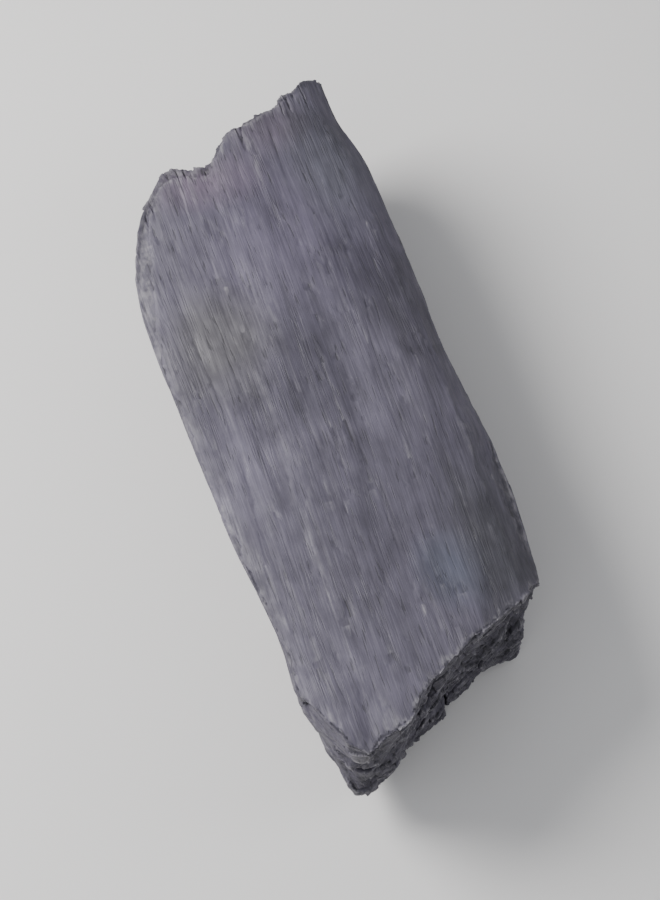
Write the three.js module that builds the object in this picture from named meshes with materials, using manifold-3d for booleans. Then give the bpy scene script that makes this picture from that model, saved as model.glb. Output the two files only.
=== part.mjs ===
// One lump of hardwood charcoal: a split billet with its grain along Y, lying on its flattest split face.
// Units are millimetres and +Z is up. The origin is on the ground, under the middle of the lump's box.
import * as THREE from "three";
import { mergeVertices } from "three/addons/utils/BufferGeometryUtils.js";
import Module from "manifold-3d";

// Driving dimensions
const HEIGHT = 40;
const HALF_LENGTH = 77;
const TILT = 0.035; // how much the upper face falls towards the right
const CROWN = 0.003; // how fast the upper face rounds off to both sides
const SAG = 1.2; // how much lower the upper face is at the ends than in the middle
const UNDERCUT = 0.1; // how fast the ends and the right face lean in below the rim

// The block that each face is cut from, and its facets
const BLOCK_WIDTH = 84;
const BLOCK_LENGTH = 192; // well past both ends
const BLOCK_DEPTH = 96;
const FIBRE_STEP = 4.6; // facet size along the grain
const ACROSS_STEP = 2.3; // facet size across the grain
const COARSE = 1.3; // how much larger the facets of the under face are
const JITTER = 0.3; // how far a facet's corner strays, as a share of the facet
const SMALLEST = 0.06; // slivers narrower than this are closed up
const WELD = 0.001; // corners closer than this are one corner

// The rim of the upper face, seen from above
const LEFT_RIM = [
  [-60, -29.6], [-47, -28.5], [-24, -31], [3, -32.3], [30, -32.9], [42, -31], [53.5, -26.2], [62, -19.4],
  [84, 0],
];
const RIGHT_RIM = [
  [-60, 25.6], [-49, 26.3], [-29, 27.3], [-18, 27.2], [-5, 26], [9, 24.6], [25, 24.1], [44, 23.3], [54, 22.9],
  [60, 21.4], [69, 20], [84, 20.4],
];
const FAR_RIM = [
  [-34, 58], [-26, 61], [-19.4, 62.5], [-14, 61.9], [-8.9, 60.9], [-4.2, 66.6], [6, 69.6], [14, 73.6],
  [18.6, 77.4], [21.4, 77.2], [30, 74],
];
const NEAR_RIM = [
  [-36, -44], [-29.7, -57], [-25.2, -67], [-22.7, -72.8], [-19.4, -77.6], [-13.1, -75], [-9.1, -73],
  [-5.4, -68.7], [0.6, -64.3], [7.7, -60.1], [17.1, -55.8], [25.6, -51], [34, -46],
];

// The log that the lump was split from: its pith is a line along the grain, up to the right of the lump
const LOG_RADIUS = 90;
const PITH = { x: 60, z: 50 };

const BEVEL = { width: 4.2, slope: 0.62 }; // the strip that falls away along the right rim
const WORN = { width: 2.6, slope: 0.4 }; // the rounded left rim
const GULLY = { reach: 8, depth: 0.35 }; // splits between fibres that open towards the far end

// The flat that the lump lies on, and how fast the under face lifts off the ground around it
const REST = { left: -11, right: 15, near: -50, far: 52 };
const LIFT = { step: 1.8, left: 0.3, near: 0.09, far: 0.14 };

// The snapped ends: blocks of wood between growth rings and rays, each broken at its own depth
const SNAP = { ring: 6.5, ray: 7.5, depth: 3.4, grain: 0.9, rim: 9 };

// Shallow scars where slivers of wood have split off. Each is a pointed strip along the grain, placed by its
// distance across the face, with its half width, its two ends along the grain and its depth.
const TOP_SCARS = [
  { at: -9, half: 4, from: 50, to: 100, depth: 0.6, drift: 2 },
  { at: 25, half: 3, from: -50, to: -18, depth: 1.2 },
  { at: -17, half: 3.6, from: -110, to: -62, depth: 0.5, drift: 2 },
  { at: 12, half: 3, from: -90, to: -48, depth: 0.5, drift: 3 },
];
const LEFT_SCARS = [
  { at: 13, half: 8, from: -46, to: 16, depth: 2.2, drift: -2 },
  { at: 27, half: 4, from: -4, to: 58, depth: 1.3, drift: 3 },
  { at: 5, half: 4, from: 20, to: 90, depth: 1.6 },
];
const RIGHT_SCARS = [
  { at: 16, half: 9, from: -44, to: 56, depth: 3, drift: 4 },
  { at: 30, half: 3.5, from: -30, to: 20, depth: 1.4, drift: 2 },
  { at: 8, half: 4, from: 22, to: 100, depth: 2 },
];
const BOTTOM_SCARS = [
  { at: -8, half: 5, from: -26, to: 22, depth: 0.9, drift: 4 },
  { at: 6, half: 4, from: 18, to: 96, depth: 1.3, drift: -3 },
  { at: -14, half: 4, from: -100, to: -34, depth: 1.1, drift: 3 },
];

// Shrinkage cracks, each from one point on the surface to another and into the wood
const CRACKS = [
  { from: [-31, -84, 22], to: [-31, -22, 19], into: [1, 0, 0.05], depth: 24, width: 2.2, seed: 71 },
  { from: [-2, -84, 11], to: [2, -50, 12], into: [1, 0, 0.3], depth: 26, width: 1.8, seed: 72 },
  { from: [26, 82, 17], to: [26, 4, 14], into: [-1, 0, 0.1], depth: 13, width: 1.8, seed: 75 },
  { from: [5, -72, 0], to: [1, 14, 0], into: [0, 0, 1], depth: 9, width: 1.6, seed: 76 },
  { from: [-17, 14, -2], to: [-30, 15.5, 31], into: [1, 0, 0.3], depth: 5, width: 1.5, seed: 77 },
  { from: [-15, -22, -2], to: [-28.5, -24, 29], into: [1, 0, 0.3], depth: 5, width: 1.3, seed: 78 },
  { from: [23, -19, -2], to: [25, -16, 30], into: [-1, 0, 0], depth: 5, width: 1.5, seed: 79 },
  { from: [19, 35, -2], to: [22, 32, 24], into: [-1, 0, 0], depth: 4.5, width: 1.3, seed: 80 },
];
const CRACK_STEPS = 8;
const CRACK_WANDER = 0.7;
const OVERHANG = 6; // how far a crack's blade stands out of the wood

const clamp = (v, low = 0, high = 1) => Math.min(high, Math.max(low, v));
const ease = (t) => t * t * (3 - 2 * t);
const rise = (from, to, v) => ease(clamp((v - from) / (to - from)));

// A repeatable number from 0 to 1 for a pair of whole numbers
function chance(i, j, seed) {
  const s = Math.sin(i * 12.9898 + j * 78.233 + seed * 37.719) * 4375.8547;
  return s - Math.floor(s);
}

// Smooth noise from -1 to 1 whose bumps are about one unit across
function noise(u, v, seed) {
  const i = Math.floor(u);
  const j = Math.floor(v);
  const a = ease(u - i);
  const b = ease(v - j);
  const low = THREE.MathUtils.lerp(chance(i, j, seed), chance(i + 1, j, seed), a);
  const high = THREE.MathUtils.lerp(chance(i, j + 1, seed), chance(i + 1, j + 1, seed), a);
  return 2 * THREE.MathUtils.lerp(low, high, b) - 1;
}

// The height of a smooth line through a list of [position, height] points
function follow(points, t) {
  const last = points.length - 2;
  let k = 0;
  while (k < last && t > points[k + 1][0]) k += 1;
  const slopeAt = (n) => {
    const before = points[Math.max(0, n - 1)];
    const after = points[Math.min(points.length - 1, n + 1)];
    return (after[1] - before[1]) / (after[0] - before[0]);
  };
  const [t0, h0] = points[k];
  const [t1, h1] = points[k + 1];
  const gap = t1 - t0;
  const climb = h1 - h0;
  const s = clamp((t - t0) / gap);
  const leaving = slopeAt(k) * gap - climb;
  const arriving = slopeAt(k + 1) * gap - climb;
  return h0 + s * climb + s * (1 - s) * ((1 - s) * leaving - s * arriving);
}

function scar(across, along, { at, half, from, to, depth, drift = 0 }) {
  const middle = (from + to) / 2;
  const t = (along - middle) / ((to - from) / 2);
  if (Math.abs(t) >= 1) return 0;
  const width = half * (1 - Math.abs(t) ** 3) + 0.6 * noise(along / 6, at, 5);
  return depth * rise(width + ACROSS_STEP / 2, width - ACROSS_STEP / 2, Math.abs(across - at - drift * t));
}

const deepest = (across, along, scars) => Math.max(0, ...scars.map((s) => scar(across, along, s)));

// The upper face, a clean and nearly flat split
function upperFace(x, y) {
  const rightOf = x - (follow(RIGHT_RIM, y) - BEVEL.width);
  const leftOf = follow(LEFT_RIM, y) + WORN.width - x;
  const nearEdge = rise(GULLY.reach, 0, follow(FAR_RIM, x) - y);
  const gully = nearEdge * GULLY.depth * Math.max(0, noise(x / 2.4, y / 30, 11));
  const swell = 0.35 * noise(x / 15, y / 48, 1) + 0.2 * noise(x / 6, y / 30, 2);
  const bow = TILT * x + CROWN * x ** 2 + SAG * (y / HALF_LENGTH) ** 2;
  const edges = BEVEL.slope * Math.max(0, rightOf) + WORN.slope * Math.max(0, leftOf);
  return HEIGHT + swell - bow - edges - gully - deepest(x, y, TOP_SCARS);
}

// The under face is flat where the lump rests, and steps or slopes up from the ground around that
function underFace(x, y) {
  const step = LIFT.step * rise(0, ACROSS_STEP, x - REST.right - 2 * noise(y / 24, 3, 7));
  const sides = LIFT.left * Math.max(0, REST.left - x);
  const ends = LIFT.near * Math.max(0, REST.near - y) + LIFT.far * Math.max(0, y - REST.far);
  const lift = step + sides + ends;
  const rough = clamp(lift / 0.4) * (0.5 + 0.5 * noise(x / 4, y / 18, 8));
  return lift + rough + deepest(x, y, BOTTOM_SCARS);
}

// The left face is the outside of the log: round about the pith, with shallow furrows
const logEdge = (z) => Math.sqrt(LOG_RADIUS ** 2 - (z - PITH.z) ** 2);

function leftFace(y, z) {
  const round = logEdge(HEIGHT) - logEdge(clamp(z, 0, HEIGHT));
  const furrow = 0.7 + 0.9 * noise(z / 5.5, y / 30, 21) + 0.45 * noise(z / 2.6, y / 17, 22);
  return follow(LEFT_RIM, y) + round + rise(HEIGHT - 1, HEIGHT - 9, z) * furrow + deepest(z, y, LEFT_SCARS);
}

// The right face is a ragged split, stepped where slivers have come away
function rightFace(y, z) {
  const rim = follow(RIGHT_RIM, y);
  const depth = Math.max(0, upperFace(rim, y) - z);
  const splinters = 0.6 + 0.9 * noise(z / 4.2, y / 40, 31) + 0.5 * noise(z / 2.1, y / 24, 32);
  return rim - UNDERCUT * depth - rise(0, 7, depth) * splinters - deepest(z, y, RIGHT_SCARS);
}

// How far back an end is broken at a point of the cross-section
function brokenDepth(x, z, seed) {
  const ring = Math.hypot(x - PITH.x, z - PITH.z) / SNAP.ring + 0.25 * noise(x / 9, z / 9, seed);
  const around = Math.atan2(z - PITH.z, PITH.x - x) * LOG_RADIUS;
  const ray = around / SNAP.ray + 0.3 * noise(x / 8, z / 8, seed + 1);
  const row = Math.floor(ring);
  const column = Math.floor(ray + 0.5 * (row % 2));
  return SNAP.depth * chance(row, column, seed + 2) + SNAP.grain * (1 + noise(x / 2.4, z / 2.4, seed + 3));
}

// Both ends lean in, and are ragged under a rim that is only notched between fibres
function endInset(x, z, notch, seed) {
  const depth = Math.max(0, HEIGHT - z);
  const broken = rise(0, SNAP.rim, depth) * brokenDepth(x, z, seed);
  return UNDERCUT * depth + broken + notch * noise(x / 2.2, z / 6, seed + 4);
}

const farFace = (x, z) => follow(FAR_RIM, x) - endInset(x, z, 0.8, 41);
const nearFace = (x, z) => follow(NEAR_RIM, x) + endInset(x, z, 0.35, 51);

const wasm = await Module();
wasm.setup();

// A closed geometry as a solid that can be cut
function solidOf(geometry) {
  const bare = new THREE.BufferGeometry().setAttribute("position", geometry.getAttribute("position"));
  const merged = mergeVertices(bare.setIndex(geometry.index), WELD);
  return new wasm.Manifold(
    new wasm.Mesh({
      numProp: 3,
      vertProperties: new Float32Array(merged.attributes.position.array),
      triVerts: new Uint32Array(merged.index.array),
    }),
  );
}

const axis = (x, y, z) => new THREE.Vector3(x, y, z);

// A block whose lid is one face of the lump. Its sides u and v and its height w point along the axes given.
function blockUnder(lid, { u, v, w, spanV = BLOCK_LENGTH, stepU = ACROSS_STEP, stepV = FIBRE_STEP, seed }) {
  const spanU = BLOCK_WIDTH;
  const countU = Math.round(spanU / stepU);
  const countV = Math.round(spanV / stepV);
  const block = new THREE.BoxGeometry(spanU, spanV, 2, countU, countV, 1);
  const points = block.getAttribute("position");
  const corner = new THREE.Vector3();
  for (let k = 0; k < points.count; k += 1) {
    corner.fromBufferAttribute(points, k);
    const onEdge = Math.abs(corner.x) > spanU / 2 - 0.1 || Math.abs(corner.y) > spanV / 2 - 0.1;
    const i = Math.round(corner.x / stepU);
    const j = Math.round(corner.y / stepV);
    if (!onEdge) corner.x += stepU * JITTER * (2 * chance(i, j, seed) - 1);
    if (!onEdge) corner.y += stepV * JITTER * (2 * chance(i, j, seed + 0.5) - 1);
    const top = corner.z > 0;
    corner.z = 0;
    const flat = corner.applyMatrix4(new THREE.Matrix4().makeBasis(u, v, w));
    points.setXYZ(k, ...flat.addScaledVector(w, top ? lid(flat) : -BLOCK_DEPTH).toArray());
  }
  return solidOf(block);
}

const acrossGrain = { spanV: BLOCK_WIDTH, stepV: ACROSS_STEP };
const coarse = { stepU: COARSE * ACROSS_STEP, stepV: COARSE * FIBRE_STEP };
const ALL_FACES = [
  blockUnder((p) => upperFace(p.x, p.y), {
    u: axis(1, 0, 0), v: axis(0, 1, 0), w: axis(0, 0, 1), seed: 61,
  }),
  blockUnder((p) => -underFace(p.x, p.y), {
    u: axis(1, 0, 0), v: axis(0, -1, 0), w: axis(0, 0, -1), ...coarse, seed: 62,
  }),
  blockUnder((p) => -leftFace(p.y, p.z), {
    u: axis(0, 0, 1), v: axis(0, 1, 0), w: axis(-1, 0, 0), seed: 63,
  }),
  blockUnder((p) => rightFace(p.y, p.z), {
    u: axis(0, 0, -1), v: axis(0, 1, 0), w: axis(1, 0, 0), seed: 64,
  }),
  blockUnder((p) => farFace(p.x, p.z), {
    u: axis(-1, 0, 0), v: axis(0, 0, 1), w: axis(0, 1, 0), ...acrossGrain, seed: 65,
  }),
  blockUnder((p) => -nearFace(p.x, p.z), {
    u: axis(1, 0, 0), v: axis(0, 0, 1), w: axis(0, -1, 0), ...acrossGrain, seed: 66,
  }),
];

// The blade that cuts a crack is widest at its mouth and closes to an edge. It wanders a little from one end
// to the other, and narrows and grows shallow on the way.
function blade({ from, to, into, depth, width, seed }) {
  const start = axis(...from);
  const end = axis(...to);
  const inward = axis(...into).normalize();
  const side = new THREE.Vector3().crossVectors(end.clone().sub(start), inward).normalize();
  const corners = [];
  for (let k = 0; k <= CRACK_STEPS; k += 1) {
    const share = k / CRACK_STEPS;
    const left = 1 - 0.9 * share ** 1.5;
    const wander = CRACK_WANDER * noise(k / 1.4, 0, seed);
    const middle = start.clone().lerp(end, share).addScaledVector(side, wander);
    const mouth = middle.clone().addScaledVector(inward, -OVERHANG);
    const half = (width * left * (depth + OVERHANG)) / depth / 2;
    corners.push(
      mouth.clone().addScaledVector(side, half),
      mouth.clone().addScaledVector(side, -half),
      middle.clone().addScaledVector(inward, depth * left * (1 + 0.2 * noise(k, 3, seed))),
    );
  }
  const last = 3 * CRACK_STEPS;
  const faces = [2, 1, 0, last, last + 1, last + 2];
  for (let k = 0; k < last; k += 3) {
    for (let n = 0; n < 3; n += 1) {
      const next = (n + 1) % 3;
      faces.push(k + n, k + next, k + 3 + n, k + next, k + 3 + next, k + 3 + n);
    }
  }
  return solidOf(new THREE.BufferGeometry().setFromPoints(corners).setIndex(faces));
}

const solid = CRACKS.reduce(
  (whole, crack) => whole.subtract(blade(crack)),
  ALL_FACES.reduce((kept, block) => kept.intersect(block)),
).simplify(SMALLEST);

// The largest piece of a solid, as a geometry: a crack near an edge can cut a crumb free
function largestPiece(cut) {
  const [largest] = cut.decompose().sort((a, b) => b.volume() - a.volume());
  const { vertProperties, triVerts } = largest.getMesh();
  return new THREE.BufferGeometry()
    .setAttribute("position", new THREE.BufferAttribute(vertProperties, 3))
    .setIndex(new THREE.BufferAttribute(triVerts, 1));
}

const charcoal = new THREE.MeshStandardMaterial({ color: 0x6f6d78, roughness: 0.72, metalness: 0 });
// Taken twice, since the first time a crumb can still hang on by a corner
const geometry = largestPiece(solidOf(largestPiece(solid)));
geometry.computeBoundingBox();
const middle = geometry.boundingBox.getCenter(new THREE.Vector3());
geometry.translate(-middle.x, -middle.y, -geometry.boundingBox.min.z);

const lump = new THREE.Mesh(geometry, charcoal);
lump.name = "charcoal_lump";

const group = new THREE.Group();
group.add(lump);

export default group;
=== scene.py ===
"""A lump of hardwood charcoal on a pale floor.

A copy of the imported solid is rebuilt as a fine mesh, and the relief of each kind of broken face is
pressed into it. Masks stored on the mesh tell the material where the crevices, rims and ends are.
"""

import math
from types import SimpleNamespace

import bpy
import numpy as np
from mathutils import Matrix, Vector
from mathutils.bvhtree import BVHTree

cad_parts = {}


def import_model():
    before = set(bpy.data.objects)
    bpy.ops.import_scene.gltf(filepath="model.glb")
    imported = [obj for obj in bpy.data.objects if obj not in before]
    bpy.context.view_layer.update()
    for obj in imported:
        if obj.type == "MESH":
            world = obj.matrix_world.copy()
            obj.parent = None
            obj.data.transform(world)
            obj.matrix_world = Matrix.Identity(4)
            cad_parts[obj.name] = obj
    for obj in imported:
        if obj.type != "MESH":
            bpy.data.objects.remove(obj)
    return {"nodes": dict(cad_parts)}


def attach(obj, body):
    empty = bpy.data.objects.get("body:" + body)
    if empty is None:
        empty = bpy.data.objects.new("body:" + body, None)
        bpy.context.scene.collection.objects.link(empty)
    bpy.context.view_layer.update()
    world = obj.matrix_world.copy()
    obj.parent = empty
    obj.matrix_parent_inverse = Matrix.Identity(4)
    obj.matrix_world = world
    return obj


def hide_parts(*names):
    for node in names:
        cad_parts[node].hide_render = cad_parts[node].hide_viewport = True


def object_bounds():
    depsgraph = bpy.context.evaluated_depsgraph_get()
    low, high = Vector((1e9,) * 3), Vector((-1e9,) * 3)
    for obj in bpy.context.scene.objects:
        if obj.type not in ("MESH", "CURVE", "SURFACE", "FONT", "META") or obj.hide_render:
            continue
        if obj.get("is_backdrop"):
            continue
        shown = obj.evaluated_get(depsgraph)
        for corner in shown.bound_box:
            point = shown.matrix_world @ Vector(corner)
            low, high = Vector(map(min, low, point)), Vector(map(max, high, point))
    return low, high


NODE = "charcoal_lump"
PIECE = "charcoal_lump_surface"
MM = 0.001
MM_PER_M = 1000
X, Y, Z = 0, 1, 2  # the columns of an array of points

# The mesh, in millimetres. Cells are longer along the grain (Y), where the surface changes slowly.
CELL = 0.25
CELL_STRETCH = 1.6
MAX_TRIANGLES = 196_000
SHARP_ANGLE = math.radians(38)  # edges that bend more than this are drawn as corners

# The log that the lump was split from: its pith is a line along the grain, up to the right of the lump
PITH_X = 62.6
PITH_Z = 50
LOG_RADIUS = 90
RING = 2.6  # one year's growth

# The lump, in millimetres
END_ZONE = 40  # faces across the grain that are further out than this are the snapped ends
END_FADE = 4
RIGHT_RIM_HEIGHT = 37
CRACKED_LENGTH = 124  # how much of the lump's length has cracks along the grain
GAP_REACH = 3.0  # walls that are closer than this to each other are the two sides of a crack
STEP_LIMIT = 2.0  # the most that a block of a snapped end is moved

# The camera, at the photograph's viewing angle
AZIMUTH = math.radians(-17.8)
ELEVATION = math.radians(62)
LENS = 180
SENSOR = 24
FRAME_SHARE = 0.80  # how much of the frame's height the lump fills
CLIP_START = 0.01

# Each light's azimuth and elevation in degrees, distance and size in metres, power in watts, and colour
LIGHTS = {
    "key": (-120, 45, 0.5, 0.32, 3.8, (1.0, 0.985, 0.97)),
    "fill": (-50, 50, 1.1, 0.9, 2.4, (0.95, 0.97, 1.0)),
    "side": (75, 28, 0.9, 0.5, 1.5, (1.0, 1.0, 1.0)),
}
LIGHT_TARGET = Vector((0, 0, 0.02))
ROOM_COLOUR = (0.93, 0.95, 1.0, 1)
ROOM_STRENGTH = 0.42
FLOOR_HALF = 1.5
FLOOR_COLOUR = (0.74, 0.73, 0.72, 1)
FLOOR_ROUGHNESS = 0.7

# Colours of the charcoal
DARK_WOOD = (0.039, 0.035, 0.052, 1)
LIGHT_WOOD = (0.126, 0.115, 0.157, 1)
RIDGE_WEAR = (0.18, 0.174, 0.20, 1)
# Light specks on chips, and a painted highlight along the edges
CHIP_WEAR_AND_RIM_HIGHLIGHT = (0.235, 0.225, 0.245, 1)
ASH_DUST = (0.22, 0.21, 0.23, 1)
PORE_DARK = (0.018, 0.018, 0.022, 1)
LINE_DARK = (0.020, 0.020, 0.024, 1)
HAIRLINE_DARK = (0.012, 0.012, 0.015, 1)
# Painted shade for the crevices and cracks
CREVICE_PAINTED_SHADE = (0.010, 0.010, 0.013, 1)
SPECULAR = 0.5
BUMP_DEPTH = 0.0006  # in metres

# What is stored on each vertex for the material, from 0 to 1
MASKS = ("crevice", "rim", "ridge", "worn", "end", "top")

# Broad patches of other tones on the upper face: middle and radius in millimetres,
# and what the colour is multiplied by
PATCHES = [
    ((-17, 21), (10, 11), (1.15, 1.20, 0.98)),  # dusty
    ((-9, 58), (9, 6), (1.40, 1.22, 1.23)),  # warmer, along the far edge
    ((7, 66), (7, 5), (1.16, 1.08, 1.06)),
    ((17, 52), (7, 13), (1.00, 1.08, 1.00)),  # cooler, below the peak
    ((12, -43), (6, 8), (0.92, 1.05, 1.08)),  # bluish
    ((22, -40), (9, 16), (0.63, 0.67, 0.61)),  # darker at the lower right
    ((-19, -7), (5, 9), (1.22, 1.22, 1.22)),  # ashy
    ((8, -5), (4, 5), (1.08, 1.08, 1.08)),
    ((2, 42), (18, 17), (1.11, 1.08, 1.14)),
    ((-14, -62), (9, 13), (1.18, 1.18, 1.18)),
    ((-3, -42), (9, 9), (1.06, 1.06, 1.06)),
    ((-2, 9), (8, 11), (0.75, 0.75, 0.77)),  # darker
    ((16, 33), (6, 15), (0.80, 0.80, 0.82)),
    ((21, 12), (6, 16), (0.72, 0.72, 0.72)),
    ((-25, 18), (8, 28), (0.87, 0.87, 0.87)),
    ((-25, -28), (5, 20), (0.90, 0.90, 0.90)),
]


# Noise. A seed picks one of many different noises, and gives the same one each time.


def hashed(i, j, k, seed):
    """A repeatable number from 0 to 1 for each whole-numbered point. Large odd factors mix the bits."""
    h = (i * 73856093) ^ (j * 19349663) ^ (k * 83492791) ^ (seed * 2654435761)
    h = (h ^ (h >> 13)) * 1274126177
    h = (h ^ (h >> 16)) & 0xFFFFFF
    return h / float(0xFFFFFF)


def value_noise(p, seed):
    """Smooth noise from -1 to 1 at the rows of p, with bumps about one unit across."""
    cell = np.floor(p).astype(np.int64)
    f = p - cell
    f = f * f * f * (f * (f * 6 - 15) + 10)
    total = np.zeros(len(p))
    for corner in range(8):
        d = np.array([corner & 1, (corner >> 1) & 1, corner >> 2])
        weight = np.prod(np.where(d, f, 1 - f), axis=1)
        i, j, k = (cell + d).T
        total += weight * hashed(i, j, k, seed)
    return 2 * total - 1


def fractal(p, seed, octaves, gain=0.5):
    """Noise from -1 to 1 with finer bumps on its bumps. Each octave is gain times as strong as the last."""
    total = np.zeros(len(p))
    size = 1.0
    span = 0.0
    for n in range(octaves):
        total += size * value_noise(p * 2.0**n, seed + n)
        span += size
        size *= gain
    return total / span


def line_noise(t, row, seed):
    """Smooth noise along a line, with bumps about one unit long. Each row has noise of its own."""
    zero = np.zeros(len(t))
    return value_noise(np.column_stack([t, zero + row, zero]), seed)


def along_grain(co, width, length):
    """Points scaled so that noise at them has bumps of this width and length, in millimetres."""
    return co / np.array([width, length, width])


def cells(u, v, seed):
    """Splits a plane into irregular cells: each point's cell, as a number from 0 to 1."""
    margin = 0.15  # keeps each cell's middle off the sides of its square
    i = np.floor(u).astype(np.int64)
    j = np.floor(v).astype(np.int64)
    zero = np.zeros_like(i)
    nearest = np.full(len(u), np.inf)
    own = np.zeros(len(u))
    for di in (-1, 0, 1):
        for dj in (-1, 0, 1):
            middle_u = i + di + margin + (1 - 2 * margin) * hashed(i + di, j + dj, zero, seed)
            middle_v = j + dj + margin + (1 - 2 * margin) * hashed(i + di, j + dj, zero, seed + 1)
            far = np.hypot(u - middle_u, v - middle_v)
            own = np.where(far < nearest, hashed(i + di, j + dj, zero, seed + 2), own)
            nearest = np.minimum(nearest, far)
    return own


def valley(distance, width):
    """The depth of a narrow groove, from 1 at its middle to 0 beyond its width."""
    return np.clip(1 - np.abs(distance) / width, 0, 1) ** 1.3


def rise(low, high, v):
    """A smooth step from 0 at low to 1 at high. It falls where low is the larger."""
    t = np.clip((v - low) / (high - low), 0, 1)
    return t * t * (3 - 2 * t)


def near_place(v, middle, spread):
    """A soft hump, 1 at its middle."""
    return np.exp(-(((v - middle) / spread) ** 2))


def unit(vectors):
    """The rows of vectors, each made one unit long."""
    return vectors / np.linalg.norm(vectors, axis=1)[:, None]


# Mesh tools


class Surface:
    """A closed mesh as arrays, in millimetres, with what smoothing and carving need."""

    def __init__(self, mesh):
        self.mesh = mesh
        self.co = self.read("vertices", "co", 3) / MM
        self.edges = self.read("edges", "vertices", 2, np.int32)
        self.refresh()

    def read(self, collection, name, width, kind=np.float32):
        """One property of the mesh's vertices or edges, as an array with this many columns."""
        items = getattr(self.mesh, collection)
        values = np.empty(len(items) * width, kind)
        items.foreach_get(name, values)
        return values.reshape(-1, width).astype(float if kind is np.float32 else np.int64)

    def refresh(self):
        """Writes the present shape to the mesh and reads its vertex normals."""
        self.mesh.vertices.foreach_set("co", (self.co * MM).astype(np.float32).ravel())
        self.mesh.update()
        self.normal = self.read("vertices", "normal", 3)

    def around(self, values, weight=None):
        """The mean of the neighbours' values at each vertex."""
        a, b = self.edges.T
        count = len(self.co)
        w = np.ones(len(self.edges)) if weight is None else weight
        total = np.bincount(a, w, count) + np.bincount(b, w, count)
        columns = values.reshape(count, -1).T
        means = [np.bincount(a, w * c[b], count) + np.bincount(b, w * c[a], count) for c in columns]
        mean = np.array(means).T / np.maximum(total, 1e-9)[:, None]
        return mean.reshape(values.shape)

    def spread(self, values, rounds):
        """The values blurred over the mesh."""
        for _ in range(rounds):
            values = self.around(values)
        return values

    def stand_out(self, rounds):
        """How far each vertex stands out of the blurred surface, in millimetres: positive on ridges."""
        return np.sum((self.co - self.spread(self.co, rounds)) * self.normal, axis=1)

    def flatten_facets(self, rounds, keep):
        """Smooths each broken face by itself.

        The normals are blurred first, except between vertices whose normals differ by more than keep, and
        each vertex then moves along its blurred normal towards its neighbours.
        """
        a, b = self.edges.T
        for _ in range(rounds):
            smooth = self.normal
            for _ in range(3):
                apart = np.sum((smooth[a] - smooth[b]) ** 2, axis=1)
                weight = np.exp(-apart / keep**2) + 0.001
                smooth = unit(smooth + 3 * self.around(smooth, weight))
            offset = self.around(self.co, weight) - self.co
            self.co += smooth * np.sum(offset * smooth, axis=1)[:, None] * 0.9
            self.refresh()

    def even_out(self, where, rounds, share):
        """Takes a share off the steps along the grain inside the area where the weight is 1."""
        a, b = self.edges.T
        weight = where[a] * where[b] + 1e-6
        level = self.co[:, Y]
        for _ in range(rounds):
            level = self.around(level, weight)
        self.co[:, Y] += share * where * (level - self.co[:, Y])
        self.refresh()


def voxel_mesh(source, name):
    """A new object whose mesh is the source's, rebuilt from cells that are longer along the grain."""
    mesh = source.data.copy()
    mesh.name = name
    mesh.materials.clear()
    piece = bpy.data.objects.new(name, mesh)
    bpy.context.scene.collection.objects.link(piece)
    squeeze = Matrix.Diagonal((1, 1 / CELL_STRETCH, 1, 1))
    mesh.transform(squeeze)
    remesh = piece.modifiers.new("cells", "REMESH")
    remesh.mode = "VOXEL"
    remesh.voxel_size = CELL * MM
    apply_modifiers(piece)
    piece.data.transform(squeeze.inverted())
    return piece


def apply_modifiers(piece):
    """Replaces the object's mesh with what its modifiers make of it."""
    graph = bpy.context.evaluated_depsgraph_get()
    mesh = bpy.data.meshes.new_from_object(piece.evaluated_get(graph))
    old = piece.data
    piece.modifiers.clear()
    piece.data = mesh
    bpy.data.meshes.remove(old)


def thin_out(piece):
    """Collapses the flattest triangles until the mesh is small enough, and keeps it on the ground."""
    triangles = sum(len(p.vertices) - 2 for p in piece.data.polygons)
    collapse = piece.modifiers.new("collapse", "DECIMATE")
    collapse.ratio = min(1.0, MAX_TRIANGLES / triangles)
    apply_modifiers(piece)
    for vertex in piece.data.vertices:
        vertex.co.z = max(vertex.co.z, 0.0)


# Relief of each kind of broken face. Widths, lengths and depths are in millimetres.


def wood_frame(co):
    """Where points are in the log: distance from the pith, and distance round it."""
    x = co[:, X] - PITH_X
    z = co[:, Z] - PITH_Z
    wander = value_noise(along_grain(co, 30, 60), seed=5)
    r = np.hypot(x, z) + 0.8 * wander
    around_pith = np.arctan2(z, -x) * LOG_RADIUS
    return r, around_pith


def slivers(co, width, length, seed):
    """Low steps where thin slivers have come away.

    The edge of a step is where a slowly changing level passes a whole number.
    """
    level = 3.2 * fractal(along_grain(co, width, length), seed, octaves=2, gain=0.6)
    step = np.floor(level)
    return step + rise(0.0, 0.10, level - step)


def splinters(across, along, width, length, seed):
    """Long pointed splinters that broke off at different depths: each one's level, from -0.5 to 0.5."""
    bend = value_noise(np.column_stack([across / width / 2, 2 * along / length, 0 * along]), seed)
    return cells(across / width + 0.5 * bend, along / length, seed + 1) - 0.5


def clean_split(co):
    """The relief of the smooth upper face: low dapples, faint fibres, a few thin slivers, and dents."""
    dapple = fractal(along_grain(co, 3.2, 4.6), seed=11, octaves=2)
    fibre = fractal(along_grain(co, 0.9, 24.0), seed=21, octaves=2)
    groove = valley(value_noise(along_grain(co, 1.5, 26.0), seed=23), 0.14)
    flake = slivers(co, 9.0, 60.0, seed=25)
    dent = rise(0.38, 0.65, fractal(along_grain(co, 1.8, 3.4), seed=27, octaves=2))
    return 0.06 * dapple + 0.02 * fibre - 0.06 * groove + 0.10 * flake - 0.12 * dent


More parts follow.
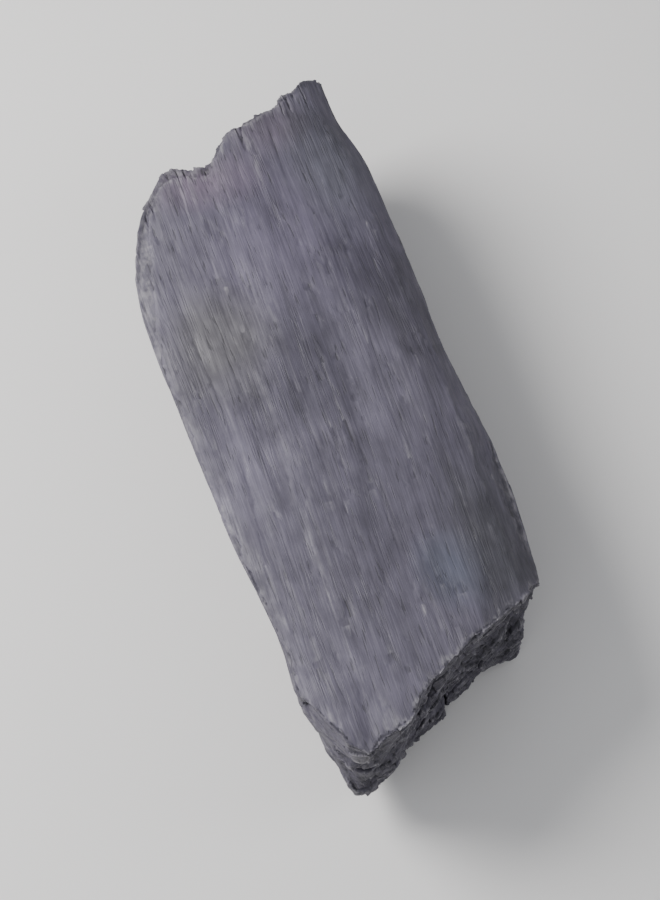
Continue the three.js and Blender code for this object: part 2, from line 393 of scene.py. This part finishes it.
def torn_split(co):
    """The relief of a rough side: splinters of three sizes, with some smoother stretches."""
    along = co[:, Y]
    across = co[:, X] + co[:, Z]  # goes on growing round the lower right corner
    large = splinters(across, along, 6.5, 80.0, seed=31)
    middle = splinters(across, along, 2.8, 36.0, seed=35)
    small = splinters(across, along, 1.1, 15.0, seed=39)
    ridge = fractal(along_grain(co, 2.4, 44.0), seed=43, octaves=3)
    rough = rise(-0.4, 0.2, value_noise(along_grain(co, 16.0, 40.0), seed=47))
    below = rise(0.0, 10.0, RIGHT_RIM_HEIGHT - co[:, Z])
    torn = 0.95 * large + rough * (0.6 * middle + 0.3 * small)
    return (0.35 + 0.65 * below) * torn + 0.12 * ridge


def log_outside(co):
    """The relief of the outside of the log: shallow furrows, fine wrinkles and thin flakes."""
    furrow = fractal(along_grain(co, 4.5, 60.0), seed=51, octaves=2)
    wrinkle = valley(value_noise(along_grain(co, 1.7, 26.0), seed=53), 0.12)
    return 0.24 * furrow - 0.24 * wrinkle + 0.24 * slivers(co, 8.0, 70.0, seed=55)


def open_cracks(y, across, seed, number, lowest, highest):
    """The depth of cracks along the grain, each closed at both ends."""
    draw = np.random.default_rng(seed)
    depth = np.zeros(len(y))
    for k in range(number):
        place, level, size, gape = draw.random(4)
        middle = CRACKED_LENGTH * ((k + place) / number - 0.5)
        level = lowest + (highest - lowest) * level
        half = 6 + 14 * size
        width = 0.22 + 0.24 * gape
        near = np.flatnonzero((np.abs(y - middle) < half + 2) & (np.abs(across - level) < 9))
        there = y[near]
        wander = 1.2 * line_noise(there / 9, k, seed) + 0.25 * line_noise(there / 1.6, k, seed + 1)
        away = across[near] - level - wander
        open_share = np.clip(1 - ((there - middle) / half) ** 2, 0, 1)
        found = np.sqrt(open_share) * near_place(away, 0, width * (0.35 + 0.65 * open_share))
        depth[near] = np.maximum(depth[near], found)
    return depth


def block_steps(block, co, square):
    """How far the mean level of each block of a snapped end is beyond each of its points."""
    out = np.abs(co[:, Y])
    _, number = np.unique(block + (co[:, Y] > 0), return_inverse=True)
    level = np.bincount(number, square * out) / np.maximum(np.bincount(number, square), 1e-9)
    return square * np.clip(level[number] - out, -STEP_LIMIT, STEP_LIMIT)


def ray_cracks(co, r, around_pith):
    """Cracks along the rays, out from the pith: 1 at the middle of a crack."""
    apart = 9.5
    ray = around_pith / apart + 0.07 * value_noise(co / 4.0, seed=75)
    number = np.floor(ray).astype(np.int64)
    none = np.zeros_like(number)
    present = hashed(number, none, none, seed=76) < 0.7
    middle = 45 + 50 * hashed(number, none, none, seed=77)
    reach = 1 - rise(6.0, 14.0, np.abs(r - middle))
    return present * reach * valley((ray - number - 0.5) * apart, 0.45)


def snapped_end(co, square):
    """The relief of a snapped end: blocks of wood, the lips of rings, and cracks out from the pith.

    Blocks are pressed flat only where square is 1: on faces square to the grain, below the upper rim.
    """
    r, around_pith = wood_frame(co)
    warp = 0.4 * value_noise(co / 4.0, seed=61)
    rings = r / RING + 0.5 * warp
    year = np.floor(rings)
    lip = (rings - year) ** 2
    arc = value_noise(np.column_stack([7.3 * year, around_pith / 6.0, np.zeros_like(r)]), seed=62)
    block = cells(r / 3.8 + warp, around_pith / 3.4 - warp, seed=63)
    steps = np.where(co[:, Y] > 0, 0.6, 0.3) * block_steps(block, co, square)
    small = cells(r / 1.3 + warp, around_pith / 1.1 - warp, seed=66)
    rough = rise(-0.3, 0.3, value_noise(co / 6.0, seed=69))
    loose = 0.8 * (block - 0.5) + 0.5 * rough * (small - 0.5)
    return steps + loose + 0.22 * lip + 0.3 * arc - 1.6 * ray_cracks(co, r, around_pith)


def within(co, axis, side):
    """How far each point is inside the outline seen from above, along one axis.

    It is measured from the high end of the axis where side is 1, and from the low end where it is -1.
    """
    out = side * co[:, axis]
    other = co[:, 1 - axis] - co[:, 1 - axis].min()
    row = np.round(other).astype(np.int64)
    edge = np.full(row.max() + 1, out.min())
    np.maximum.at(edge, row, out)
    return np.interp(other, np.arange(len(edge)), edge) - out


def end_splits(co):
    """Fine splits between bundles of fibres on the upper face, which open towards the far edge."""
    lane = value_noise(co / np.array([1.8, 30.0, 40.0]), seed=81)
    ragged = value_noise(co / np.array([2.2, 60.0, 60.0]), seed=83)
    reach = rise(5.0, 0.0, within(co, Y, 1) + 3.5 * ragged)
    return 0.45 * reach * valley(lane, 0.13)


def worn_rim(co):
    """Where the rim of the upper face is chipped: 1 on the chips. They are wide at the far left corner."""
    x, y = co[:, X], co[:, Y]
    ragged = fractal(along_grain(co, 2.0, 3.4), seed=85, octaves=3)
    left = 0.6 + 2.9 * near_place(y, 41, 15) - within(co, X, -1)
    right = 0.2 + 2.4 * near_place(y, -27, 12) - within(co, X, 1)
    far = 0.5 + 2.4 * near_place(x, -13, 10) - within(co, Y, 1)
    near = 0.3 + 1.0 * near_place(x, -13, 4) - within(co, Y, -1)
    widest = np.maximum(np.maximum(left, right), np.maximum(far, near))
    return rise(0.0, 0.25, widest + 1.3 * ragged)


# Carving


def gap_ahead(surface):
    """How far each vertex is from a wall in front of it, in millimetres: small in cracks."""
    faces = [tuple(p.vertices) for p in surface.mesh.polygons]
    tree = BVHTree.FromPolygons(surface.co.tolist(), faces)
    starts = (surface.co + 0.05 * surface.normal).tolist()
    found = [tree.ray_cast(p, n, GAP_REACH)[3] for p, n in zip(starts, surface.normal.tolist())]
    return surface.spread(np.array([GAP_REACH if d is None else d for d in found]), 2)


def near_ends(co):
    """Where the lump's ends are: 0 along its middle and 1 further out."""
    return rise(END_ZONE - END_FADE, END_ZONE, np.abs(co[:, Y]))


def carve(piece):
    """Presses the relief of each kind of broken face into the mesh."""
    surface = Surface(piece.data)
    surface.flatten_facets(rounds=10, keep=0.30)
    outer = near_ends(surface.co)
    surface.even_out(rise(0.3, 0.5, -surface.normal[:, Y]) * outer, rounds=40, share=0.5)
    co = surface.co
    facing = surface.spread(surface.normal, 3)

    # How much of each kind of face there is at each vertex, from 0 to 1
    end = rise(0.25, 0.6, np.abs(facing[:, Y])) * outer
    top = rise(0.68, 0.90, facing[:, Z]) * (1 - end)
    side = (1 - end) * (1 - top)
    left = rise(0.3, 0.7, -facing[:, X]) * side
    under = rise(0.6, 0.9, -facing[:, Z]) * side
    square = outer * rise(0.55, 0.85, np.abs(facing[:, Y]))

    left_cracks = open_cracks(co[:, Y], co[:, Z], seed=91, number=9, lowest=5, highest=33)
    under_cracks = open_cracks(co[:, Y], co[:, X], seed=101, number=8, lowest=-18, highest=20)
    chips = fractal(along_grain(co, 1.4, 3.0), seed=111, octaves=3)
    depth = top * (clean_split(co) - end_splits(co) - 0.3 * worn_rim(co))
    depth += left * (log_outside(co) - 0.8 * left_cracks)
    depth += (side - left) * torn_split(co)
    depth -= 0.6 * under * under_cracks
    depth -= 0.7 * (1 - end) * rise(0.05, 0.35, surface.stand_out(8)) * rise(0.0, 0.12, chips)
    # The relief fades out inside the solid's own cracks
    depth *= surface.spread(rise(0.6, 2.4, gap_ahead(surface)), 6)
    below_rim = 1 - rise(0.0, 0.15, surface.spread(top, 60))
    depth += end * snapped_end(co, below_rim * square)

    # Fibres break off to different lengths, so faces square to the grain are stepped along it
    grain = np.zeros_like(facing)
    grain[:, Y] = np.sign(facing[:, Y])
    direction = unit(surface.spread(surface.normal, 6))
    direction = unit(direction + (grain - direction) * square[:, None])
    surface.co = co + direction * depth[:, None]
    surface.co[:, Z] = np.maximum(surface.co[:, Z], 0.0)
    surface.refresh()


def add_masks(piece):
    """Stores on each vertex what the material reads."""
    surface = Surface(piece.data)
    fine = surface.stand_out(1)
    wide = surface.stand_out(8)
    deep = 1 - rise(0.5, 2.5, gap_ahead(surface))
    # How deep each vertex lies in a crevice or crack, where shade is painted
    crevice = 0.6 * rise(0.03, 0.22, -fine) + 0.7 * rise(0.05, 0.4, -wide) + deep
    rim = rise(0.10, 0.36, wide)
    ridge = rise(0.02, 0.10, fine)
    end = surface.spread(rise(0.3, 0.6, np.abs(surface.normal[:, Y])) * near_ends(surface.co), 3)
    top = surface.spread(rise(0.6, 0.85, surface.normal[:, Z]), 2)
    worn = worn_rim(surface.co) * top
    for name, values in zip(MASKS, (crevice, rim, ridge, worn, end, top)):
        attribute = piece.data.attributes.new(name, "FLOAT", "POINT")
        attribute.data.foreach_set("value", np.clip(values, 0, 1).astype(np.float32))


# Materials


class Nodes:
    """Short calls for building a material's node tree."""

    def __init__(self, material):
        material.use_nodes = True
        self.tree = material.node_tree
        self.tree.nodes.clear()

    def add(self, kind, inputs=None, **settings):
        """A new node with these settings. An input is given a value, or linked where it is a socket."""
        node = self.tree.nodes.new(kind)
        for key, value in settings.items():
            setattr(node, key, value)
        for key, value in (inputs or {}).items():
            self.feed(node.inputs[key], value)
        return node

    def feed(self, socket, value):
        if isinstance(value, bpy.types.NodeSocket):
            self.tree.links.new(value, socket)
        else:
            socket.default_value = value

    def math(self, operation, a, b=0.0, c=0.0):
        return self.add("ShaderNodeMath", {0: a, 1: b, 2: c}, operation=operation).outputs[0]

    def vector(self, operation, *values):
        inputs = dict(enumerate(values))
        return self.add("ShaderNodeVectorMath", inputs, operation=operation).outputs[0]

    def ramp(self, value, low, high, to_low=0.0, to_high=1.0):
        """The value's range from low to high stretched to another range, and held at its ends."""
        names = ["Value", "From Min", "From Max", "To Min", "To Max"]
        node = self.add("ShaderNodeMapRange", dict(zip(names, [value, low, high, to_low, to_high])))
        return node.outputs[0]

    def mix(self, share, a, b, blend="MIX"):
        node = self.add("ShaderNodeMix", data_type="RGBA", blend_type=blend)
        self.feed(node.inputs[0], share)
        self.feed(node.inputs[6], a)
        self.feed(node.inputs[7], b)
        return node.outputs[2]

    def brighten(self, colour, factor):
        inputs = {0: colour, "Scale": factor}
        return self.add("ShaderNodeVectorMath", inputs, operation="SCALE").outputs[0]

    def attribute(self, name):
        return self.add("ShaderNodeAttribute", attribute_name=name).outputs["Fac"]

    def noise(self, place, scale, detail, rough=0.5):
        """Noise with scale in bumps per unit along each of the place's directions."""
        scaled = self.vector("MULTIPLY", place, scale)
        inputs = {"Vector": scaled, "Scale": 1.0, "Detail": detail, "Roughness": rough}
        return self.add("ShaderNodeTexNoise", inputs).outputs["Fac"]

    def push_about(self, place, scale, amount):
        """The place moved by noise, by up to about half the amount along each of its directions."""
        scaled = self.vector("MULTIPLY", place, scale)
        inputs = {"Vector": scaled, "Scale": 1.0, "Detail": 3.0, "Roughness": 0.6}
        push = self.add("ShaderNodeTexNoise", inputs).outputs["Color"]
        return self.vector("MULTIPLY_ADD", push, amount, place)

    def hairlines(self, place, scale, width):
        """Thin lines between irregular cells, with scale in cells per unit: 1 on the lines."""
        inputs = {"Vector": self.vector("MULTIPLY", place, scale), "Scale": 1.0}
        gap = self.add("ShaderNodeTexVoronoi", inputs, feature="DISTANCE_TO_EDGE").outputs["Distance"]
        return self.ramp(gap, 0.0, width, 1.0, 0.0)

    def patch(self, place, centre, radius, ragged):
        """An oval patch with a soft and ragged edge: 1 inside and 0 outside."""
        share = self.vector("DIVIDE", self.vector("SUBTRACT", place, centre), radius)
        length = self.add("ShaderNodeVectorMath", {0: share}, operation="LENGTH").outputs["Value"]
        return self.ramp(self.math("MULTIPLY_ADD", ragged, 1.2, length), 1.0, 2.0, 1.0, 0.0)

    def principled(self, inputs):
        """Ends the tree with a principled shader."""
        shader = self.add("ShaderNodeBsdfPrincipled", inputs)
        output = self.add("ShaderNodeOutputMaterial")
        self.tree.links.new(shader.outputs[0], output.inputs[0])


def wood_place(n, place):
    """The place in the log in millimetres, and the distance from the pith by itself.

    The place is the distance from the pith, the distance round it, and the distance along the grain.
    """
    parts = n.add("ShaderNodeSeparateXYZ", {"Vector": place}).outputs
    x = n.math("MULTIPLY_ADD", parts["X"], MM_PER_M, -PITH_X)
    z = n.math("MULTIPLY_ADD", parts["Z"], MM_PER_M, -PITH_Z)
    y = n.math("MULTIPLY", parts["Y"], MM_PER_M)
    wander = n.noise(place, (25, 12, 25), 1)
    r = n.math("SQRT", n.math("MULTIPLY_ADD", x, x, n.math("MULTIPLY", z, z)))
    r = n.math("MULTIPLY_ADD", wander, 3.0, r)
    around = n.math("MULTIPLY", n.math("ARCTAN2", z, n.math("MULTIPLY", x, -1)), LOG_RADIUS)
    around = n.math("MULTIPLY_ADD", wander, 2.0, around)
    wood = n.add("ShaderNodeCombineXYZ", {"X": r, "Y": around, "Z": y}).outputs[0]
    return wood, r


def charcoal_noises(n, place, wood):
    """The noises that the colour, the gloss and the bumps share.

    Scales are in bumps per millimetre for the place in the log, and per metre for the plain place.
    """
    return SimpleNamespace(
        hair=n.noise(wood, (2.8, 2.8, 0.10), 1),
        fibre=n.noise(wood, (1.5, 1.5, 0.05), 2),
        streak=n.noise(wood, (0.8, 0.8, 0.03), 3, 0.55),
        band=n.noise(wood, (0.14, 0.14, 0.020), 1),
        fleck=n.noise(wood, (0.10, 1.1, 0.20), 3, 0.6),
        dapple=n.noise(wood, (0.36, 0.36, 0.16), 3, 0.55),
        winding=n.noise(wood, (1.0, 1.0, 0.035), 2),
        stretch=n.noise(wood, (0.22, 0.22, 0.04), 1),
        vessel=n.noise(wood, (1.9, 1.9, 0.2), 1),
        pore=n.noise(wood, (2.8, 2.8, 0.22), 0),
        blotch=n.noise(place, (150, 120, 150), 2),
        cloud=n.noise(place, (70, 50, 70), 2),
        dust=n.noise(place, (1500, 1100, 1500), 3, 0.7),
        chip=n.noise(place, (620, 420, 620), 3, 0.6),
    )


def wood_colour(n, r, ring, noise, mask):
    """The colour of unworn wood: streaks, dapples, broad bands and clouds, and darker or lighter rings."""
    # Hairs crowd together in the dapples
    hatch = n.ramp(n.math("MULTIPLY_ADD", noise.dapple, 0.8, noise.hair), 0.80, 1.00)
    tone = n.math("MULTIPLY", hatch, 0.06)
    fine = ((noise.fibre, 0.08), (noise.streak, 0.09), (noise.fleck, 0.08), (noise.dapple, 0.15))
    broad = ((noise.band, 0.32), (noise.blotch, 0.24), (noise.cloud, 0.32))
    for part, weight in fine + broad:
        tone = n.math("MULTIPLY_ADD", part, weight, tone)
    late_wood = n.ramp(ring, 0.35, 1.0)
    tone = n.math("ADD", tone, n.math("MULTIPLY", late_wood, n.ramp(mask.end, 0.0, 1.0, 0.02, 0.16)))
    colour = n.mix(n.ramp(tone, 0.49, 0.89), DARK_WOOD, LIGHT_WOOD)
    # The colour is darker nearer the pith, towards the right
    return n.brighten(colour, n.ramp(n.math("MULTIPLY_ADD", noise.cloud, 14.0, r), 46, 96, 0.84, 1.0))


def add_patches(n, colour, place, noise, mask):
    """The colour with the broad patches of the upper face."""
    flat_place = n.vector("MULTIPLY", place, (1, 1, 0))
    for middle, radius, tint in PATCHES:
        centre = (middle[0] * MM, middle[1] * MM, 0)
        patch = n.patch(flat_place, centre, (radius[0] * MM, radius[1] * MM, 1), noise.cloud)
        colour = n.mix(n.math("MULTIPLY", patch, mask.top), colour, (*tint, 1), "MULTIPLY")
    return colour


def add_wear_and_painted_light(n, colour, noise, mask):
    """The colour with darker ends, partly painted shade, lighter ridges, and chips along the rims, partly a
    painted highlight.
    """
    # The ends are darker: partly the end grain's own tone, partly painted shade
    colour = n.brighten(colour, n.ramp(mask.end, 0.0, 1.0, 1.0, 0.62))
    colour = n.mix(n.math("MULTIPLY", mask.ridge, 0.16), colour, RIDGE_WEAR)
    # Chips along the upper rim: a darker ground with light specks on it. The light specks along every edge
    # that stands out are partly chips and partly a painted highlight.
    colour = n.brighten(colour, n.ramp(mask.worn, 0.0, 1.0, 1.0, 0.82))
    chips_and_rim_highlight = n.math("MAXIMUM", mask.rim, n.math("MULTIPLY", mask.worn, 0.6))
    return n.mix(n.math("MULTIPLY", chips_and_rim_highlight, n.ramp(noise.chip, 0.41, 0.66, 0.0, 0.9)), colour, CHIP_WEAR_AND_RIM_HIGHLIGHT)


def open_pores(n, ring, noise, mask):
    """Pores, most of them in the early wood of each ring, and larger vessels on the ends: 1 in them."""
    early_wood = n.ramp(ring, 0.0, 0.5, 1.0, 0.0)
    pore = n.ramp(n.math("MULTIPLY_ADD", early_wood, 0.05, noise.pore), 0.71, 0.79)
    vessel = n.ramp(n.math("MULTIPLY_ADD", early_wood, 0.10, noise.vessel), 0.62, 0.68)
    return n.math("MAXIMUM", pore, n.math("MULTIPLY", vessel, mask.end))


def grain_lines(n, noise, mask):
    """Thin lines along the grain, on some stretches and not on the ends: 1 on the lines."""
    away = n.math("ABSOLUTE", n.math("SUBTRACT", noise.winding, 0.5))
    line = n.math("MULTIPLY", n.ramp(away, 0.01, 0.05, 1.0, 0.0), n.ramp(noise.stretch, 0.44, 0.56))
    return n.math("MULTIPLY", line, n.ramp(mask.end, 0.0, 0.6, 1.0, 0.0))


def brick_cracks(n, place, wood, mask):
    """Hairline cracks that part the sides and ends into small bricks here and there: 1 on the cracks."""
    bricks = n.push_about(wood, (0.5, 0.5, 0.2), (1.8, 1.8, 4.0))
    crack = n.hairlines(bricks, (0.21, 0.28, 0.085), 0.017)
    patchy = n.ramp(n.noise(place, (85, 40, 85), 1), 0.44, 0.56)
    return n.math("MULTIPLY", crack, n.math("MULTIPLY", patchy, n.ramp(mask.top, 0.0, 1.0, 0.9, 0.0)))


def fine_bumps(n, pore, line, crack, noise, mask):
    """The relief that is too fine for the mesh, as a normal. It is lower on the upper face."""
    grain = ((noise.hair, 0.25), (noise.fibre, 0.4), (noise.streak, 0.3), (noise.fleck, 0.2))
    spots = ((noise.dapple, 0.35), (pore, -0.25), (crack, -0.4), (line, -0.2))
    height = 0.0
    for part, weight in grain + spots:
        height = n.math("MULTIPLY_ADD", part, weight, height)
    height = n.math("MULTIPLY_ADD", noise.chip, n.ramp(mask.top, 0.0, 1.0, 0.5, 0.12), height)
    strength = n.ramp(mask.top, 0.0, 1.0, 0.6, 0.36)
    inputs = {"Strength": strength, "Distance": BUMP_DEPTH, "Height": height}
    return n.add("ShaderNodeBump", inputs).outputs[0]


def charcoal_material():
    """Dry grey-black charcoal, slightly silvery along the grain."""
    material = bpy.data.materials.new("charcoal")
    n = Nodes(material)
    place = n.add("ShaderNodeTexCoord").outputs["Object"]
    wood, r = wood_place(n, place)
    ring = n.math("FRACT", n.math("MULTIPLY", r, 1 / RING))
    noise = charcoal_noises(n, place, wood)
    mask = SimpleNamespace(**{name: n.attribute(name) for name in MASKS})
    pore = open_pores(n, ring, noise, mask)
    line = grain_lines(n, noise, mask)
    crack = brick_cracks(n, place, wood, mask)

    colour = wood_colour(n, r, ring, noise, mask)
    colour = add_patches(n, colour, place, noise, mask)
    colour = add_wear_and_painted_light(n, colour, noise, mask)
    colour = n.mix(n.math("MULTIPLY", pore, 0.5), colour, PORE_DARK)
    colour = n.mix(n.math("MULTIPLY", line, n.ramp(mask.top, 0.0, 1.0, 0.5, 0.25)), colour, LINE_DARK)
    colour = n.mix(crack, colour, HAIRLINE_DARK)
    # Painted shade: the crevices and cracks are darkened
    colour = n.mix(n.math("MULTIPLY", mask.crevice, 0.85), colour, CREVICE_PAINTED_SHADE)
    colour = n.mix(n.ramp(noise.dust, 0.68, 0.76, 0.0, 0.25), colour, ASH_DUST)

    roughness = n.ramp(n.math("ADD", noise.fleck, noise.dapple), 0.8, 1.2, 0.72, 0.52)
    roughness = n.math("MULTIPLY_ADD", mask.end, -0.10, roughness)
    normal = fine_bumps(n, pore, line, crack, noise, mask)
    inputs = {
        "Base Color": colour,
        "Roughness": roughness,
        "Specular IOR Level": SPECULAR,
        "Normal": normal,
    }
    n.principled(inputs)
    return material


def floor_material():
    """A plain pale floor."""
    material = bpy.data.materials.new("pale_floor")
    Nodes(material).principled({"Base Color": FLOOR_COLOUR, "Roughness": FLOOR_ROUGHNESS})
    return material


# Stage


def make_floor():
    """A flat square at ground level."""
    half = FLOOR_HALF
    mesh = bpy.data.meshes.new("floor")
    corners = [(-half, -half, 0), (half, -half, 0), (half, half, 0), (-half, half, 0)]
    mesh.from_pydata(corners, [], [(0, 1, 2, 3)])
    mesh.materials.append(floor_material())
    floor = bpy.data.objects.new("floor", mesh)
    bpy.context.scene.collection.objects.link(floor)
    floor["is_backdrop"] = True


def towards(azimuth, elevation):
    """The direction from the lump to a point at this azimuth and elevation."""
    flat = math.cos(elevation)
    return Vector((math.sin(azimuth) * flat, -math.cos(azimuth) * flat, math.sin(elevation)))


def aim(thing, target):
    """Turns a camera or light to face the target."""
    thing.rotation_euler = (target - thing.location).to_track_quat("-Z", "Y").to_euler()


def make_light(name, azimuth, elevation, distance, size, power, colour):
    """A round soft light that shines on the lump."""
    data = bpy.data.lights.new(name, "AREA")
    data.shape = "DISK"
    data.size = size
    data.energy = power
    data.color = colour
    light = bpy.data.objects.new(name, data)
    bpy.context.scene.collection.objects.link(light)
    light.location = towards(math.radians(azimuth), math.radians(elevation)) * distance
    aim(light, LIGHT_TARGET)


def make_room():
    """Even light from all round."""
    world = bpy.data.worlds.new("soft_room")
    bpy.context.scene.world = world
    world.use_nodes = True
    background = world.node_tree.nodes["Background"]
    background.inputs["Color"].default_value = ROOM_COLOUR
    background.inputs["Strength"].default_value = ROOM_STRENGTH


def make_camera(low, high):
    """A camera that looks at the middle of the box between these corners, and frames its length."""
    data = bpy.data.cameras.new("camera")
    data.lens = LENS
    data.sensor_width = SENSOR
    data.clip_start = CLIP_START
    camera = bpy.data.objects.new("camera", data)
    bpy.context.scene.collection.objects.link(camera)
    length = high.y - low.y
    height = high.z - low.z
    tall = length * math.cos(AZIMUTH) * math.sin(ELEVATION) + height * math.cos(ELEVATION)
    distance = tall / FRAME_SHARE * LENS / SENSOR
    middle = Vector((0, 0, (low.z + high.z) / 2))
    camera.location = middle + towards(AZIMUTH, ELEVATION) * distance
    aim(camera, middle)
    bpy.context.scene.camera = camera


def main():
    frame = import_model()
    low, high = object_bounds()
    piece = voxel_mesh(frame["nodes"][NODE], PIECE)
    carve(piece)
    thin_out(piece)
    add_masks(piece)
    piece.data.materials.append(charcoal_material())
    piece.data.shade_smooth()
    piece.data.set_sharp_from_angle(angle=SHARP_ANGLE)
    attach(piece, "root")
    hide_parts(NODE)
    make_floor()
    for name, settings in LIGHTS.items():
        make_light(name, *settings)
    make_room()
    make_camera(Vector(low), Vector(high))
    low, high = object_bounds()


main()
